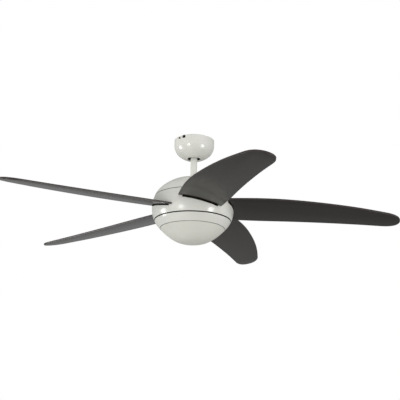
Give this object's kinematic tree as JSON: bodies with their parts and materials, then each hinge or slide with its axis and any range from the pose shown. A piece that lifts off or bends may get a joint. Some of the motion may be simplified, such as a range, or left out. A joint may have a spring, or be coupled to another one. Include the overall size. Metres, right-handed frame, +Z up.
{
  "type": "ceiling fan with light",
  "caption": "Ceiling fan with sabre-shaped dark wood blades, white oval motor housing, round opal light bowl, short downrod and domed canopy.",
  "frame": {"origin": "middle of the hanger bracket's top face, midway between its two ceiling screw slots", "axes": "+Z up into the ceiling and along the fan's axis; +X along the line of the two ceiling screw slots"},
  "size_m": [1.2098, 1.2577, 0.3473],
  "materials": {
    "white_paint": "gloss",
    "white_screw": "gloss",
    "zinc_steel": "satin",
    "dark_steel": "satin",
    "black_plastic": "satin",
    "terminal_plastic": "matte",
    "cast_iron": "rough",
    "turned_steel": "satin",
    "lamination_steel": "satin",
    "copper_wire": "gloss",
    "cast_aluminium": "satin",
    "bearing_steel": "gloss",
    "dark_wood": "satin",
    "bracket_paint": "satin",
    "capacitor_plastic": "gloss",
    "white_ceramic": "matte",
    "lamp_quartz": "gloss",
    "soft_seal": "matte",
    "opal_glass": "satin"
  },
  "bodies": {
    "root": {"hanger_bracket": "bracket_paint", "canopy": "white_paint", "canopy_screws": "white_screw", "terminal_block": "terminal_plastic"},
    "liner": {"seat_liner": "black_plastic"},
    "stem": {"hanger_ball": "black_plastic", "ball_pin": "zinc_steel", "ball_set_screw": "dark_steel", "downrod": "white_paint", "coupling": "cast_iron", "coupling_pin": "zinc_steel", "pin_clip": "zinc_steel", "coupling_set_screws": "dark_steel", "motor_shaft": "turned_steel", "stator_core": "lamination_steel", "stator_windings": "copper_wire", "upper_bearing_inner": "bearing_steel", "lower_bearing_inner": "bearing_steel", "shaft_spacer": "zinc_steel", "light_pan": "white_paint", "pan_nut": "zinc_steel", "run_capacitor": "capacitor_plastic", "reflector": "white_paint", "reflector_screws": "zinc_steel", "lamp_holders": "white_ceramic", "halogen_lamp": "lamp_quartz", "glass_gasket": "soft_seal"},
    "rotor": {"rotor_laminations": "lamination_steel", "rotor_cage": "cast_aluminium", "motor_top_cover": "cast_aluminium", "motor_bottom_cover": "cast_aluminium", "motor_cover_screws": "zinc_steel", "upper_bearing_outer": "bearing_steel", "upper_bearing_balls": "bearing_steel", "lower_bearing_outer": "bearing_steel", "lower_bearing_balls": "bearing_steel", "blade_1": "dark_wood", "blade_2": "dark_wood", "blade_3": "dark_wood", "blade_4": "dark_wood", "blade_5": "dark_wood", "blade_bracket_1": "bracket_paint", "blade_bracket_2": "bracket_paint", "blade_bracket_3": "bracket_paint", "blade_bracket_4": "bracket_paint", "blade_bracket_5": "bracket_paint", "blade_screws": "zinc_steel", "bracket_screws": "zinc_steel", "housing_carrier": "zinc_steel", "carrier_screws": "zinc_steel", "housing_band": "white_paint", "housing_cap": "white_paint", "hub_cover": "white_paint"},
    "glass": {"glass_bowl": "opal_glass"}
  },
  "joints": [
    {"name": "liner_tilt", "type": "hinge", "parent": "root", "child": "liner", "pos_m": [0, 0, -0.0455], "axis": [1, 0, 0], "range_deg": [-15, 15]},
    {"name": "ball_tilt", "type": "hinge", "parent": "liner", "child": "stem", "pos_m": [0, 0, -0.0455], "axis": [0, 1, 0], "range_deg": [-15, 15]},
    {"name": "fan_spin", "type": "hinge", "parent": "stem", "child": "rotor", "pos_m": [0, 0, -0.235], "axis": [0, 0, 1], "continuous": true},
    {"name": "glass_twist", "type": "hinge", "parent": "stem", "child": "glass", "pos_m": [0, 0, -0.3], "axis": [0, 0, 1], "range_deg": [0, 30]}
  ]
}
